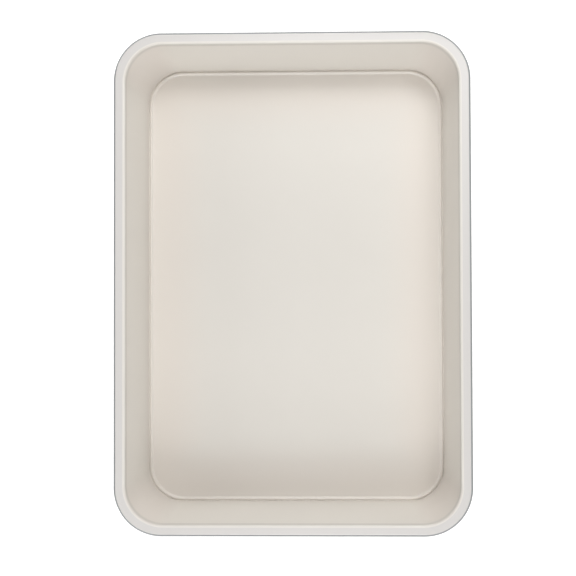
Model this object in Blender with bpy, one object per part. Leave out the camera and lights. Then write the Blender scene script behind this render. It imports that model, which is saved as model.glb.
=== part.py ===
"""A rectangular baking pan: a pressed steel shell, and the steel ring that its rim is rolled round.

All sizes are in metres. The origin is the middle of the underside, X runs across the pan, Y along it, Z up.
The shell is drawn as a section through its wall, which is then carried round the pan. In that section "out"
is the distance outside the mouth line and "up" is the height above the table.
"""

import math

import bmesh
import bpy

# Whole pan
PAN_HEIGHT = 0.051
SHEET_THICKNESS = 0.0008

# Mouth, measured where the walls would meet the plane of the rim's top
MOUTH_WIDTH = 0.229
MOUTH_LENGTH = 0.329
WALL_CORNER_RADIUS = 0.026
END_WALL_ANGLE = 5.0
SIDE_WALL_ANGLE = 5.85

# Rolled rim
RIM_WIDTH = 0.0082
RIM_CORNER_RADIUS = 0.033
RIM_BEND_RADIUS = 0.0014
ROLL_HEIGHT = 0.005
ROLL_EDGE_GAP = 0.00035

# Ring inside the roll
WIRE_CLEARANCE = 0.0003

# Pressed ridge round the floor, and the narrow valley between it and the wall
RIDGE_HEIGHT = 0.0012
RIDGE_CREST_RADIUS = 0.00095
RIDGE_FOOT_RADIUS = 0.0015
VALLEY_RADIUS = 0.0004
VALLEY_LIFT = 0.0001

# How finely curves are cut into flats
CORNER_STEPS = 10
SMALL_ARC_STEPS = 6
ROLL_STEPS = 10
WIRE_SIDES = 12

# Sizes that follow from those above
LEAN = math.radians(END_WALL_ANGLE)
SIDE_SLOPE = math.tan(math.radians(SIDE_WALL_ANGLE)) - math.tan(LEAN)
FLOOR_OUT = -(PAN_HEIGHT - SHEET_THICKNESS) * math.tan(LEAN)
ROLL_RADIUS = ROLL_HEIGHT / 2
ROLL_CENTRE_OUT = RIM_WIDTH - ROLL_RADIUS
ROLL_CENTRE_UP = PAN_HEIGHT - ROLL_RADIUS
WIRE_RADIUS = ROLL_RADIUS - SHEET_THICKNESS - WIRE_CLEARANCE


def arc(centre, radius, start, end, steps):
    """Points along an arc; the angles are in degrees, anticlockwise from the first axis."""
    angles = [math.radians(start + (end - start) * step / steps) for step in range(steps + 1)]
    return [(centre[0] + radius * math.cos(a), centre[1] + radius * math.sin(a)) for a in angles]


def wall_out(up):
    """Where the inner face of the wall stands at this height."""
    return -(PAN_HEIGHT - up) * math.tan(LEAN)


def corner_radius(out):
    """The corner radius of the level line that runs this far outside the mouth line."""
    if out > 0:
        return WALL_CORNER_RADIUS + (RIM_CORNER_RADIUS - WALL_CORNER_RADIUS) * out / RIM_WIDTH
    if out < FLOOR_OUT:
        return WALL_CORNER_RADIUS + out - FLOOR_OUT
    return WALL_CORNER_RADIUS


def side_inset(out, up):
    """How much further in a line inside the mouth runs along the sides, which lean more than the ends."""
    return (PAN_HEIGHT - up) * SIDE_SLOPE if out < 0 else 0


def level_line(out, up):
    """One closed line round the pan, anticlockwise seen from above."""
    radius = corner_radius(out)
    half_x = MOUTH_WIDTH / 2 + out - side_inset(out, up) - radius
    half_y = MOUTH_LENGTH / 2 + out - radius
    points = []
    for quarter, (side_x, side_y) in enumerate(((1, 1), (-1, 1), (-1, -1), (1, -1))):
        centre = (side_x * half_x, side_y * half_y)
        start = 90 * quarter
        points += [(x, y, up) for x, y in arc(centre, radius, start, start + 90, CORNER_STEPS)]
    return points


def floor_edge_section():
    """From the flat floor over the ridge and through the valley, up to where the flat of the wall starts."""
    valley_up = SHEET_THICKNESS + VALLEY_LIFT + VALLEY_RADIUS
    valley = (wall_out(valley_up) - VALLEY_RADIUS / math.cos(LEAN), valley_up)
    outer_reach = RIDGE_CREST_RADIUS + VALLEY_RADIUS
    outer_slope = math.acos(1 - (RIDGE_HEIGHT - VALLEY_LIFT) / outer_reach)
    crest_up = SHEET_THICKNESS + RIDGE_HEIGHT - RIDGE_CREST_RADIUS
    crest = (valley[0] - outer_reach * math.sin(outer_slope), crest_up)
    inner_reach = RIDGE_CREST_RADIUS + RIDGE_FOOT_RADIUS
    inner_slope = math.acos(1 - RIDGE_HEIGHT / inner_reach)
    foot = (crest[0] - inner_reach * math.sin(inner_slope), SHEET_THICKNESS + RIDGE_FOOT_RADIUS)
    rise = math.degrees(inner_slope)
    drop = math.degrees(outer_slope)
    section = arc(foot, RIDGE_FOOT_RADIUS, -90, rise - 90, SMALL_ARC_STEPS)
    section += arc(crest, RIDGE_CREST_RADIUS, 90 + rise, 90 - drop, SMALL_ARC_STEPS)[1:]
    section += arc(valley, VALLEY_RADIUS, -90 - drop, -END_WALL_ANGLE, SMALL_ARC_STEPS)[1:]
    return section


def rim_section():
    """From the top of the wall over the rim, round the roll and back under it towards the wall."""
    bend_up = PAN_HEIGHT - RIM_BEND_RADIUS
    bend = (wall_out(bend_up) + RIM_BEND_RADIUS / math.cos(LEAN), bend_up)
    roll = (ROLL_CENTRE_OUT, ROLL_CENTRE_UP)
    under = PAN_HEIGHT - ROLL_HEIGHT
    wall_back = wall_out(under + SHEET_THICKNESS) + SHEET_THICKNESS / math.cos(LEAN)
    section = arc(bend, RIM_BEND_RADIUS, 180 - END_WALL_ANGLE, 90, SMALL_ARC_STEPS)
    section += arc(roll, ROLL_RADIUS, 90, -90, ROLL_STEPS)
    section.append((wall_back + ROLL_EDGE_GAP, under))
    return section


def finish(name, colour, roughness, metallic):
    """A plain surface finish."""
    material = bpy.data.materials.new(name)
    material.use_nodes = True
    shader = material.node_tree.nodes["Principled BSDF"]
    shader.inputs["Base Color"].default_value = (*colour, 1)
    shader.inputs["Roughness"].default_value = roughness
    shader.inputs["Metallic"].default_value = metallic
    return material


def carry_round(name, section, closed):
    """Carries a section round the pan: a closed one gives a solid bar, an open one a sheet with a floor."""
    mesh = bmesh.new()
    rings = [[mesh.verts.new(point) for point in level_line(out, up)] for out, up in section]
    pairs = list(zip(rings, rings[1:]))
    if closed:
        pairs.append((rings[-1], rings[0]))
    else:
        mesh.faces.new(rings[0])
    for inner, outer in pairs:
        for here in range(len(inner)):
            after = (here + 1) % len(inner)
            mesh.faces.new((inner[here], outer[here], outer[after], inner[after]))
    if closed:
        bmesh.ops.recalc_face_normals(mesh, faces=mesh.faces)
    data = bpy.data.meshes.new(name)
    mesh.to_mesh(data)
    mesh.free()
    piece = bpy.data.objects.new(name, data)
    bpy.context.scene.collection.objects.link(piece)
    data.shade_smooth()
    data.set_sharp_from_angle(angle=math.radians(50))
    return piece


def make_shell():
    """The whole pan from one sheet: the face that shows, thickened downwards and outwards."""
    shell = carry_round("pan_shell", floor_edge_section() + rim_section(), closed=False)
    sheet = shell.modifiers.new("sheet", "SOLIDIFY")
    sheet.thickness = SHEET_THICKNESS
    sheet.offset = -1
    sheet.use_even_offset = True
    shell.data.materials.append(finish("ceramic_coat", (0.76, 0.73, 0.67), 0.42, 0))
    return shell


def make_ring():
    """The wire that stiffens the rim, bent round the pan and welded end to end."""
    circle = arc((ROLL_CENTRE_OUT, 0), WIRE_RADIUS, 0, 360, WIRE_SIDES)[:-1]
    ring = carry_round("rim_wire", circle, closed=True)
    ring.location.z = ROLL_CENTRE_UP
    ring.data.materials.append(finish("steel_wire", (0.55, 0.56, 0.57), 0.4, 1))
    return ring


for old in list(bpy.data.objects):
    bpy.data.objects.remove(old)

pan = bpy.data.objects.new("baking_pan", None)
bpy.context.scene.collection.objects.link(pan)
for piece in (make_shell(), make_ring()):
    piece.parent = pan
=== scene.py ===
"""A coated steel baking pan under soft studio light, seen from straight above.

All sizes are in metres. X runs across the pan, Y along it and Z up; the pan stands on the floor at Z = 0.
In the section through its wall, "out" is the distance outside the mouth line, which runs where the walls
would meet the top of the rim, and "up" is the height above the floor.
"""

import math

import bpy
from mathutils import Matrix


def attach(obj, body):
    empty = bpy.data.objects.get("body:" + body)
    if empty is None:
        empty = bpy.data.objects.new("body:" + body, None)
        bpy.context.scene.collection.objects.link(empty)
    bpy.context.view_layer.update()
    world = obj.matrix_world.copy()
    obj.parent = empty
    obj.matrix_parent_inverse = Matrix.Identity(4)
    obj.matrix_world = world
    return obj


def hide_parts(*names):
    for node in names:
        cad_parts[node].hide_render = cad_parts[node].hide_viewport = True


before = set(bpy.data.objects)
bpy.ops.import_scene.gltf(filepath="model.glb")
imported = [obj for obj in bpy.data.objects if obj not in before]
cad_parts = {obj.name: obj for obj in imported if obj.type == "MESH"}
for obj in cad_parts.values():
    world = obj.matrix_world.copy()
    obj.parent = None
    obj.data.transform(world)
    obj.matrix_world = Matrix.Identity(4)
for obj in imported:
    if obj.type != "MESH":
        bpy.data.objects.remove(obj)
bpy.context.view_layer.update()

# The pan, the same sizes as its solids
PAN_HEIGHT = 0.051
SHEET_THICKNESS = 0.0008
MOUTH_WIDTH = 0.229
MOUTH_LENGTH = 0.329
WALL_CORNER_RADIUS = 0.026
END_WALL_ANGLE = 5.0
SIDE_WALL_ANGLE = 5.85
RIM_WIDTH = 0.0082
RIM_CORNER_RADIUS = 0.033
RIM_BEND_RADIUS = 0.0014
ROLL_HEIGHT = 0.005
ROLL_EDGE_GAP = 0.00035
RIDGE_HEIGHT = 0.0012
RIDGE_CREST_RADIUS = 0.00095
RIDGE_FOOT_RADIUS = 0.0015
VALLEY_RADIUS = 0.0004
VALLEY_LIFT = 0.0001

# Sizes that follow from those above
LEAN = math.radians(END_WALL_ANGLE)
SIDE_SLOPE = math.tan(math.radians(SIDE_WALL_ANGLE)) - math.tan(LEAN)
FLOOR_OUT = -(PAN_HEIGHT - SHEET_THICKNESS) * math.tan(LEAN)

# How finely curves are cut, how sharp an edge is before it is rounded, and how blunt to be shaded smooth
CORNER_CUTS = 32
RIDGE_CUTS = 12
BEND_CUTS = 12
ROLL_CUTS = 14
SHARP = math.radians(60)
SMOOTH = math.radians(40)
MERGE_DISTANCE = 1e-6

# Tones of the coat, and the painted shade, light and highlight laid on it; a band is its middle and its
# reach, and a fade is where it starts and where it is full
COAT_COLOUR = (0.731, 0.7015, 0.652)
FLOOR_COLOUR = (0.745, 0.695, 0.638)
FLOOR_BAND = (-0.018, 0.037)
FLOOR_FADE_BY_HEIGHT = (0.005, 0.0025)
# Painted shade: the round corners of the walls, above the floor, darker and warmer
CORNER_SHADE_COLOUR = (0.693, 0.6475, 0.600)
CORNER_FADE_BY_DEPTH = (-0.006, 0.010)
CORNER_FADE_BY_HEIGHT = (0.002, 0.004)
VALLEY_FADE_BY_HEIGHT = (0.0018, 0.0013)
# Painted light: the valley round the floor at the pan's ends made lighter, easing its shade
END_VALLEY_LIGHT_COLOUR = (0.88, 0.845, 0.79)
END_VALLEY_BAND = (-0.0047, 0.0006)
# Painted shade: the valley along the long sides of the floor darker
SIDE_VALLEY_SHADE_COLOUR = (0.678, 0.645, 0.598)
SIDE_VALLEY_BAND = (-0.0057, 0.0006)
# Painted shade: the rim darker and greyer than the rest of the coat
RIM_SHADE_COLOUR = (0.652, 0.630, 0.610)
RIM_FADE = (0.0006, 0.0022)
# Painted highlight: a pale line along the lip, where the rim bends down into the wall
LIP_HIGHLIGHT_COLOUR = (0.757, 0.727, 0.676)
LIP_BAND = (0.0013, 0.0007)
# Painted shade: a dark band on the wall just under the lip
UNDER_LIP_SHADE_COLOUR = (0.594, 0.567, 0.527)
UNDER_LIP_BAND_BY_HEIGHT = (0.0490, 0.0028)
UNDER_LIP_FADE = (0.0006, 0.0002)
# Painted shade: a dark grey line along the upper side of the outer roll, which is also made rough there
EDGE_SHADE_COLOUR = (0.262, 0.276, 0.279)
EDGE_FADE_BY_RIM_LINE = (-0.00175, -0.00125)
EDGE_FADE_BY_HEIGHT = (0.0479, 0.0485)

# Surfaces; a drift is the size of its patches and how far it goes, lumps and grain are a size and a height
COAT_ROUGHNESS = 0.33
COAT_ROUGHNESS_SWING = 0.06
EDGE_ROUGHNESS = 0.95
COAT_DRIFT = (0.03, 0.02)
COAT_LUMPS = (0.0016, 0.0000025)
COAT_GRAIN = (0.0002, 0.0000004)
WIRE_COLOUR = (0.60, 0.61, 0.62)
WIRE_ROUGHNESS = 0.38
WIRE_ROUGHNESS_SWING = 0.3
WIRE_DRIFT = (0.004, 0.25)
WIRE_LUMPS = (0.0012, 0.00001)
WIRE_GRAIN = (0.0001, 0.000002)
LUMP_DETAIL = 1.0
GRAIN_DETAIL = 2.0
DRIFT_DETAIL = 3.0
NOISE_MIDDLE = 0.5

# Studio floor, a hair below the pan so that no two faces share a plane
STUDIO_FLOOR_SIZE = 6
STUDIO_FLOOR_GAP = 0.0001
STUDIO_FLOOR_COLOUR = (0.9, 0.9, 0.9)
STUDIO_FLOOR_ROUGHNESS = 0.9
STUDIO_FLOOR_SHINE = 0.1
STUDIO_FLOOR_GLOW = 0.35

# Light; a softbox is its name, the degrees round the pan and above the floor, its distance and its watts
WORLD_COLOUR = (1.0, 1.0, 1.0)
WORLD_STRENGTH = 0.2
SOFTBOX_SHARE = (0.34375, 0.25)
SOFTBOXES = (
    ("low_right", 0, 12, 3.0, 16.07),
    ("low_back", 90, 12, 3.0, 18.14),
    ("low_front", 270, 12, 3.0, 8.93),
    ("wide_back_left", 135, 30, 2.4, 3.24),
    ("wide_left", 180, 30, 2.4, 6.28),
    ("wide_front", 270, 30, 2.4, 10.01),
    ("half_high_back_right", 45, 45, 1.6, 0.90),
    ("half_high_back", 90, 45, 1.6, 2.02),
    ("half_high_front_left", 225, 45, 1.6, 1.75),
    ("half_high_front", 270, 45, 1.6, 5.34),
    ("half_high_front_right", 315, 45, 1.6, 0.38),
    ("high_back_right", 45, 58, 1.1, 2.19),
    ("high_back", 90, 58, 1.1, 2.23),
    ("high_front", 270, 58, 1.1, 0.80),
)

# Camera; its turn is in degrees
FOCAL_PIXELS = 812
PRINCIPAL_POINT = (323.23, 291.89)
PICTURE_PIXELS = 576
SENSOR_WIDTH = 36
CAMERA_PLACE = (0.03122, -0.01534, 0.60418)
CAMERA_TURN = (0.944, 1.0284, -0.206)


# Section through the floor's edge


def arc(centre, radius, start, end, steps):
    """Points along an arc; the angles are in degrees, anticlockwise from the first axis."""
    angles = [math.radians(start + (end - start) * step / steps) for step in range(steps + 1)]
    return [(centre[0] + radius * math.cos(a), centre[1] + radius * math.sin(a)) for a in angles]


def wall_out(up):
    """Where the inner face of the wall stands at this height."""
    return -(PAN_HEIGHT - up) * math.tan(LEAN)


def floor_edge_section():
    """From the foot of the wall through the valley and over the ridge, in to the flat floor."""
    valley_up = SHEET_THICKNESS + VALLEY_LIFT + VALLEY_RADIUS
    valley = (wall_out(valley_up) - VALLEY_RADIUS / math.cos(LEAN), valley_up)
    outer_reach = RIDGE_CREST_RADIUS + VALLEY_RADIUS
    outer_slope = math.acos(1 - (RIDGE_HEIGHT - VALLEY_LIFT) / outer_reach)
    crest_up = SHEET_THICKNESS + RIDGE_HEIGHT - RIDGE_CREST_RADIUS
    crest = (valley[0] - outer_reach * math.sin(outer_slope), crest_up)
    inner_reach = RIDGE_CREST_RADIUS + RIDGE_FOOT_RADIUS
    inner_slope = math.acos(1 - RIDGE_HEIGHT / inner_reach)
    foot = (crest[0] - inner_reach * math.sin(inner_slope), SHEET_THICKNESS + RIDGE_FOOT_RADIUS)
    drop = math.degrees(outer_slope)
    rise = math.degrees(inner_slope)
    section = arc(valley, VALLEY_RADIUS, -END_WALL_ANGLE, -90 - drop, RIDGE_CUTS)
    section += arc(crest, RIDGE_CREST_RADIUS, 90 - drop, 90 + rise, RIDGE_CUTS)[1:]
    section += arc(foot, RIDGE_FOOT_RADIUS, rise - 90, -90, RIDGE_CUTS)[1:]
    return section


# Modelling steps


def size_level_plane(out, radius, up):
    """Brings the selected unit plane to the size of a level line, closer in along the leaning sides."""
    side_inset = (PAN_HEIGHT - up) * SIDE_SLOPE if out < 0 else 0
    size = (MOUTH_WIDTH + 2 * (out - side_inset), MOUTH_LENGTH + 2 * out, 1)
    bpy.ops.transform.resize(value=size, center_override=(0, 0, up))
    bpy.ops.mesh.bevel(offset=radius, segments=CORNER_CUTS, affect="VERTICES", clamp_overlap=False)


def bridge_to(out, radius, up):
    """Carries the open edge of the mesh being edited on to a new level line."""
    bpy.ops.mesh.select_all(action="DESELECT")
    bpy.ops.mesh.primitive_plane_add(size=1, location=(0, 0, up))
    size_level_plane(out, radius, up)
    bpy.ops.mesh.delete(type="ONLY_FACE")
    bpy.ops.mesh.select_all(action="DESELECT")
    bpy.ops.mesh.select_mode(type="EDGE")
    bpy.ops.mesh.select_non_manifold(use_multi_face=False, use_non_contiguous=False, use_verts=False)
    bpy.ops.mesh.bridge_edge_loops()


def round_sharp_edges(offset, cuts):
    """Rounds each edge loop at which the mesh being edited turns sharply."""
    bpy.ops.mesh.select_all(action="DESELECT")
    bpy.ops.mesh.edges_select_sharp(sharpness=SHARP)
    bpy.ops.mesh.bevel(offset=offset, segments=cuts, clamp_overlap=False)


def apply_modifier(piece, kind, **settings):
    """Puts a modifier on the piece and applies it."""
    modifier = piece.modifiers.new(kind.lower(), kind)
    for setting, value in settings.items():
        setattr(modifier, setting, value)
    bpy.ops.object.modifier_apply(modifier=modifier.name)


def make_coated_shell():
    """The whole pan as one sheet, floor, ridge, walls and rolled rim, which is then given its thickness."""
    section = floor_edge_section()
    foot_out, foot_up = section[0]
    under = PAN_HEIGHT - ROLL_HEIGHT
    leg_end = wall_out(under + SHEET_THICKNESS) + SHEET_THICKNESS / math.cos(LEAN) + ROLL_EDGE_GAP
    bpy.ops.object.select_all(action="DESELECT")
    bpy.ops.mesh.primitive_plane_add(size=1, location=(0, 0, foot_up))
    bpy.ops.object.transform_apply()
    shell = bpy.context.object
    shell.name = shell.data.name = "coated_shell"
    bpy.ops.object.mode_set(mode="EDIT")
    size_level_plane(foot_out, WALL_CORNER_RADIUS + foot_out - FLOOR_OUT, foot_up)
    for (out, up), (next_out, next_up) in zip(section, section[1:]):
        bpy.ops.mesh.inset(thickness=out - next_out, depth=next_up - up)
    bridge_to(0, WALL_CORNER_RADIUS, PAN_HEIGHT)
    bridge_to(RIM_WIDTH, RIM_CORNER_RADIUS, PAN_HEIGHT)
    round_sharp_edges(RIM_BEND_RADIUS * math.tan((math.pi / 2 - LEAN) / 2), BEND_CUTS)
    bridge_to(RIM_WIDTH, RIM_CORNER_RADIUS, under)
    bridge_to(leg_end, WALL_CORNER_RADIUS + leg_end, under)
    round_sharp_edges(ROLL_HEIGHT / 2, ROLL_CUTS)
    bpy.ops.mesh.select_all(action="SELECT")
    bpy.ops.mesh.remove_doubles(threshold=MERGE_DISTANCE)
    bpy.ops.mesh.normals_make_consistent(inside=False)
    bpy.ops.object.mode_set(mode="OBJECT")
    apply_modifier(shell, "SOLIDIFY", thickness=SHEET_THICKNESS, offset=-1, use_even_offset=True)
    bpy.ops.object.shade_smooth_by_angle(angle=SMOOTH)
    apply_modifier(shell, "WEIGHTED_NORMAL", keep_sharp=True)
    return shell


# Nodes


def feed(tree, socket, value):
    """Gives an input a value, or links the socket that feeds it."""
    if isinstance(value, bpy.types.NodeSocket):
        tree.links.new(value, socket)
    else:
        socket.default_value = value


def add_node(tree, kind, feeds, **settings):
    """Adds a node with its settings, and feeds its inputs."""
    node = tree.nodes.new(kind)
    for setting, value in settings.items():
        setattr(node, setting, value)
    for label, value in feeds.items():
        feed(tree, node.inputs[label], value)
    return node


def maths(tree, operation, first, second=0.0, third=0.0):
    """One step of arithmetic; gives the socket with its result."""
    feeds = {0: first, 1: second, 2: third}
    return add_node(tree, "ShaderNodeMath", feeds, operation=operation).outputs[0]


def fade(tree, value, start, full, peak=1.0, smooth=False):
    """A mask that is 0 up to the start and reaches its peak where it is full."""
    feeds = {"Value": value, "From Min": start, "From Max": full, "To Max": peak}
    slope = "SMOOTHSTEP" if smooth else "LINEAR"
    return add_node(tree, "ShaderNodeMapRange", feeds, interpolation_type=slope).outputs[0]


def blend(tree, mask, first, second):
    """Mixes two colours; the second is seen where the mask is 1."""
    feeds = {0: mask, 6: first, 7: second}
    return add_node(tree, "ShaderNodeMix", feeds, data_type="RGBA").outputs[2]


def noise(tree, position, size, detail):
    """A noise from 0 to 1 whose lumps are about this size."""
    feeds = {"Vector": position, "Scale": maths(tree, "DIVIDE", 1.0, size), "Detail": detail}
    return add_node(tree, "ShaderNodeTexNoise", feeds).outputs[0]


def new_group(name, inputs, outputs):
    """An empty node group with named sockets; gives it, what goes in and what comes out."""
    group = bpy.data.node_groups.new(name, "ShaderNodeTree")
    for label, kind in inputs:
        group.interface.new_socket(name=label, in_out="INPUT", socket_type="NodeSocket" + kind)
    for label, kind in outputs:
        group.interface.new_socket(name=label, in_out="OUTPUT", socket_type="NodeSocket" + kind)
    return group, group.nodes.new("NodeGroupInput").outputs, group.nodes.new("NodeGroupOutput").inputs


def place_group(tree, group, **feeds):
    """Puts a group into a material; the names of its inputs are written with underscores."""
    node = tree.nodes.new("ShaderNodeGroup")
    node.node_tree = group
    for label, value in feeds.items():
        feed(tree, node.inputs[label.replace("_", " ")], value)
    return node.outputs


# Shared effects


def make_level_distance():
    """How far a point lies outside a level line with round corners, and how deep in a corner of it."""
    inputs = [("Position", "Vector"), ("Half Width", "Float"), ("Half Length", "Float")]
    inputs += [("Corner Radius", "Float")]
    outputs = [("Distance", "Float"), ("Corner Depth", "Float")]
    tree, given, result = new_group("level_distance", inputs, outputs)
    folded = add_node(tree, "ShaderNodeVectorMath", {0: given["Position"]}, operation="ABSOLUTE").outputs[0]
    place = add_node(tree, "ShaderNodeSeparateXYZ", {0: folded}).outputs
    radius = given["Corner Radius"]
    past_x = maths(tree, "SUBTRACT", place["X"], maths(tree, "SUBTRACT", given["Half Width"], radius))
    past_y = maths(tree, "SUBTRACT", place["Y"], maths(tree, "SUBTRACT", given["Half Length"], radius))
    outward = {"X": maths(tree, "MAXIMUM", past_x), "Y": maths(tree, "MAXIMUM", past_y)}
    outward = add_node(tree, "ShaderNodeCombineXYZ", outward).outputs[0]
    beyond = add_node(tree, "ShaderNodeVectorMath", {0: outward}, operation="LENGTH").outputs["Value"]
    within = maths(tree, "MINIMUM", maths(tree, "MAXIMUM", past_x, past_y))
    distance = maths(tree, "SUBTRACT", maths(tree, "ADD", beyond, within), radius)
    tree.links.new(distance, result["Distance"])
    tree.links.new(maths(tree, "MINIMUM", past_x, past_y), result["Corner Depth"])
    return tree


def make_soft_band():
    """A mask that peaks where a value is in the middle of a band and fades to 0 at its edges."""
    inputs = [("Value", "Float"), ("Middle", "Float"), ("Reach", "Float"), ("Peak", "Float")]
    tree, given, result = new_group("soft_band", inputs, [("Mask", "Float")])
    away = maths(tree, "ABSOLUTE", maths(tree, "SUBTRACT", given["Value"], given["Middle"]))
    share = maths(tree, "DIVIDE", away, given["Reach"])
    feeds = {"Value": share, "To Min": given["Peak"], "To Max": 0.0}
    mask = add_node(tree, "ShaderNodeMapRange", feeds, interpolation_type="SMOOTHSTEP").outputs[0]
    tree.links.new(mask, result["Mask"])
    return tree


def make_fine_relief():
    """The height of a surface: the low lumps of a sprayed or dipped coat, with fine grain on them."""
    inputs = [("Position", "Vector"), ("Lump Size", "Float"), ("Lump Height", "Float")]
    inputs += [("Grain Size", "Float"), ("Grain Height", "Float")]
    tree, given, result = new_group("fine_relief", inputs, [("Height", "Float")])
    lumps = noise(tree, given["Position"], given["Lump Size"], LUMP_DETAIL)
    grain = noise(tree, given["Position"], given["Grain Size"], GRAIN_DETAIL)
    lumps = maths(tree, "MULTIPLY", lumps, given["Lump Height"])
    tree.links.new(maths(tree, "MULTIPLY_ADD", grain, given["Grain Height"], lumps), result["Height"])
    return tree


def make_tone_drift():
    """A colour that turns slowly lighter and darker over the surface, and the same drift as a value."""
    inputs = [("Position", "Vector"), ("Color", "Color"), ("Patch Size", "Float"), ("Amount", "Float")]
    tree, given, result = new_group("tone_drift", inputs, [("Color", "Color"), ("Drift", "Float")])
    drift = noise(tree, given["Position"], given["Patch Size"], DRIFT_DETAIL)
    level = maths(tree, "MULTIPLY_ADD", maths(tree, "SUBTRACT", drift, NOISE_MIDDLE), given["Amount"], 1.0)
    feeds = {0: given["Color"], 1: level}
    shade = add_node(tree, "ShaderNodeVectorMath", feeds, operation="MULTIPLY").outputs[0]
    tree.links.new(shade, result["Color"])
    tree.links.new(drift, result["Drift"])
    return tree


LEVEL_DISTANCE = make_level_distance()
SOFT_BAND = make_soft_band()
FINE_RELIEF = make_fine_relief()
TONE_DRIFT = make_tone_drift()


def place_level_line(tree, position, out, radius):
    """Where a point lies from the level line that runs this far outside the mouth line."""
    size = {"Half_Width": MOUTH_WIDTH / 2 + out, "Half_Length": MOUTH_LENGTH / 2 + out}
    return place_group(tree, LEVEL_DISTANCE, Position=position, Corner_Radius=radius, **size)


def place_band(tree, value, middle, reach, peak=1.0):
    """A mask for a band of the surface, from its middle and its reach to either side."""
    return place_group(tree, SOFT_BAND, Value=value, Middle=middle, Reach=reach, Peak=peak)["Mask"]


def place_drift(tree, position, colour, drift):
    """The drifting tone of a finish."""
    tone = {"Color": (*colour, 1), "Patch_Size": drift[0], "Amount": drift[1]}
    return place_group(tree, TONE_DRIFT, Position=position, **tone)


def place_relief(tree, position, lumps, grain):
    """The normals of a finish, with its lumps and its grain."""
    size = {"Lump_Size": lumps[0], "Lump_Height": lumps[1], "Grain_Size": grain[0], "Grain_Height": grain[1]}
    height = place_group(tree, FINE_RELIEF, Position=position, **size)["Height"]
    return add_node(tree, "ShaderNodeBump", {"Height": height, "Distance": 1.0, "Strength": 1.0}).outputs[0]


# Materials


def new_material(name, roughness, metallic):
    """A material; gives it, its tree, its shader's inputs and the point on the object."""
    material = bpy.data.materials.new(name)
    material.use_nodes = True
    tree = material.node_tree
    shader = tree.nodes["Principled BSDF"].inputs
    shader["Roughness"].default_value = roughness
    shader["Metallic"].default_value = metallic
    position = tree.nodes.new("ShaderNodeTexCoord").outputs["Object"]
    return material, tree, shader, position


def drifting_roughness(tree, drift, middle, swing):
    """A roughness that changes along with the tone."""
    return maths(tree, "MULTIPLY_ADD", drift, swing, middle - swing / 2)


def make_coat_material():
    """The satin cream coat, warmer on the outer floor, with painted shade in the corners, along the side
    valleys, under the lip, on the rim and on the outer roll, painted light in the end valleys and a painted
    highlight on the lip.
    """
    material, tree, shader, position = new_material("satin_cream_coat", COAT_ROUGHNESS, metallic=0)
    height = add_node(tree, "ShaderNodeSeparateXYZ", {0: position}).outputs["Z"]
    tone = place_drift(tree, position, COAT_COLOUR, COAT_DRIFT)
    mouth_line = place_level_line(tree, position, 0, WALL_CORNER_RADIUS)
    out = mouth_line["Distance"]
    rim_line = place_level_line(tree, position, RIM_WIDTH, RIM_CORNER_RADIUS)["Distance"]
    outer_floor = place_band(tree, out, *FLOOR_BAND)
    corner_shade = fade(tree, mouth_line["Corner Depth"], *CORNER_FADE_BY_DEPTH, smooth=True)
    low_down = fade(tree, height, *VALLEY_FADE_BY_HEIGHT)
    under_lip_shade = place_band(tree, height, *UNDER_LIP_BAND_BY_HEIGHT)
    outer_roll = fade(tree, rim_line, *EDGE_FADE_BY_RIM_LINE, smooth=True)
    edge = fade(tree, height, *EDGE_FADE_BY_HEIGHT, peak=outer_roll, smooth=True)
    layers = (
        (fade(tree, height, *FLOOR_FADE_BY_HEIGHT, peak=outer_floor), FLOOR_COLOUR),
        # painted shade in the round corners of the walls
        (fade(tree, height, *CORNER_FADE_BY_HEIGHT, peak=corner_shade), CORNER_SHADE_COLOUR),
        (place_band(tree, out, *END_VALLEY_BAND, peak=low_down), END_VALLEY_LIGHT_COLOUR),
        # painted light in the valley at the ends
        (place_band(tree, out, *SIDE_VALLEY_BAND, peak=low_down), SIDE_VALLEY_SHADE_COLOUR),
        # painted shade in the valley along the sides
        (fade(tree, out, *RIM_FADE, smooth=True), RIM_SHADE_COLOUR),
        # painted shade on the rim
        (place_band(tree, out, *LIP_BAND), LIP_HIGHLIGHT_COLOUR),
        # painted highlight on the lip
        (fade(tree, out, *UNDER_LIP_FADE, peak=under_lip_shade), UNDER_LIP_SHADE_COLOUR),
        # painted shade under the lip
        (edge, EDGE_SHADE_COLOUR),
    # painted shade on the outer roll
    )
    colour = tone["Color"]
    for mask, layer_colour in layers:
        colour = blend(tree, mask, colour, (*layer_colour, 1))
    roughness = drifting_roughness(tree, tone["Drift"], COAT_ROUGHNESS, COAT_ROUGHNESS_SWING)
    feeds = {"Value": edge, "To Min": roughness, "To Max": EDGE_ROUGHNESS}
    roughness = add_node(tree, "ShaderNodeMapRange", feeds).outputs[0]
    tree.links.new(colour, shader["Base Color"])
    tree.links.new(roughness, shader["Roughness"])
    tree.links.new(place_relief(tree, position, COAT_LUMPS, COAT_GRAIN), shader["Normal"])
    return material


def make_wire_material():
    """Drawn steel wire with a dull zinc finish."""
    material, tree, shader, position = new_material("zinc_coated_wire", WIRE_ROUGHNESS, metallic=1)
    tone = place_drift(tree, position, WIRE_COLOUR, WIRE_DRIFT)
    roughness = drifting_roughness(tree, tone["Drift"], WIRE_ROUGHNESS, WIRE_ROUGHNESS_SWING)
    tree.links.new(tone["Color"], shader["Base Color"])
    tree.links.new(roughness, shader["Roughness"])
    tree.links.new(place_relief(tree, position, WIRE_LUMPS, WIRE_GRAIN), shader["Normal"])
    return material


# Studio


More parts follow.
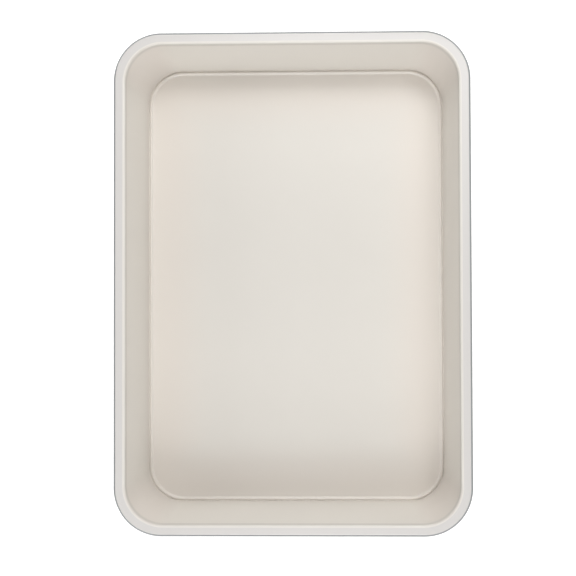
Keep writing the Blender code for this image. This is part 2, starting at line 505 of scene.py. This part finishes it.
def make_studio_floor():
    """A plain pale floor."""
    bpy.ops.object.select_all(action="DESELECT")
    bpy.ops.mesh.primitive_plane_add(size=STUDIO_FLOOR_SIZE, location=(0, 0, -STUDIO_FLOOR_GAP))
    floor = bpy.context.object
    floor.name = "studio_floor"
    material = bpy.data.materials.new("white_floor")
    material.use_nodes = True
    shader = material.node_tree.nodes["Principled BSDF"].inputs
    shader["Base Color"].default_value = (*STUDIO_FLOOR_COLOUR, 1)
    shader["Roughness"].default_value = STUDIO_FLOOR_ROUGHNESS
    shader["Specular IOR Level"].default_value = STUDIO_FLOOR_SHINE
    shader["Emission Color"].default_value = (1, 1, 1, 1)
    shader["Emission Strength"].default_value = STUDIO_FLOOR_GLOW
    floor.data.materials.append(material)


def add_softbox(name, azimuth, elevation, distance, power):
    """A rectangular light that faces the pan; it looks equally large from the pan however far it stands."""
    around, above = math.radians(azimuth), math.radians(elevation)
    light = bpy.data.lights.new(name, "AREA")
    light.shape = "RECTANGLE"
    light.size = distance * SOFTBOX_SHARE[0]
    light.size_y = distance * SOFTBOX_SHARE[1]
    light.energy = power
    lamp = bpy.data.objects.new(name, light)
    lamp.location = (
        distance * math.cos(above) * math.cos(around),
        distance * math.cos(above) * math.sin(around),
        distance * math.sin(above),
    )
    lamp.rotation_euler = (math.pi / 2 - above, 0, around + math.pi / 2)
    bpy.context.scene.collection.objects.link(lamp)


def light_the_room():
    """A pale even room with softboxes."""
    world = bpy.data.worlds.new("pale_room")
    world.use_nodes = True
    background = world.node_tree.nodes["Background"].inputs
    background["Color"].default_value = (*WORLD_COLOUR, 1)
    background["Strength"].default_value = WORLD_STRENGTH
    bpy.context.scene.world = world
    for softbox in SOFTBOXES:
        add_softbox(*softbox)


def add_camera():
    """The photograph's camera: almost straight above the pan, the picture cut a little off its middle."""
    camera = bpy.data.cameras.new("camera")
    camera.sensor_width = SENSOR_WIDTH
    camera.lens = FOCAL_PIXELS / PICTURE_PIXELS * SENSOR_WIDTH
    camera.shift_x = (PICTURE_PIXELS / 2 - PRINCIPAL_POINT[0]) / PICTURE_PIXELS
    camera.shift_y = (PRINCIPAL_POINT[1] - PICTURE_PIXELS / 2) / PICTURE_PIXELS
    holder = bpy.data.objects.new("camera", camera)
    holder.location = CAMERA_PLACE
    holder.rotation_euler = [math.radians(turn) for turn in CAMERA_TURN]
    bpy.context.scene.collection.objects.link(holder)
    bpy.context.scene.camera = holder


coated_shell = make_coated_shell()
coated_shell.data.materials.append(make_coat_material())
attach(coated_shell, "root")
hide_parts("pan_shell")

rim_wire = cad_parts["rim_wire"]
rim_wire.material_slots[0].material = make_wire_material()

make_studio_floor()
light_the_room()
add_camera()
bpy.context.scene.view_settings.view_transform = "Standard"
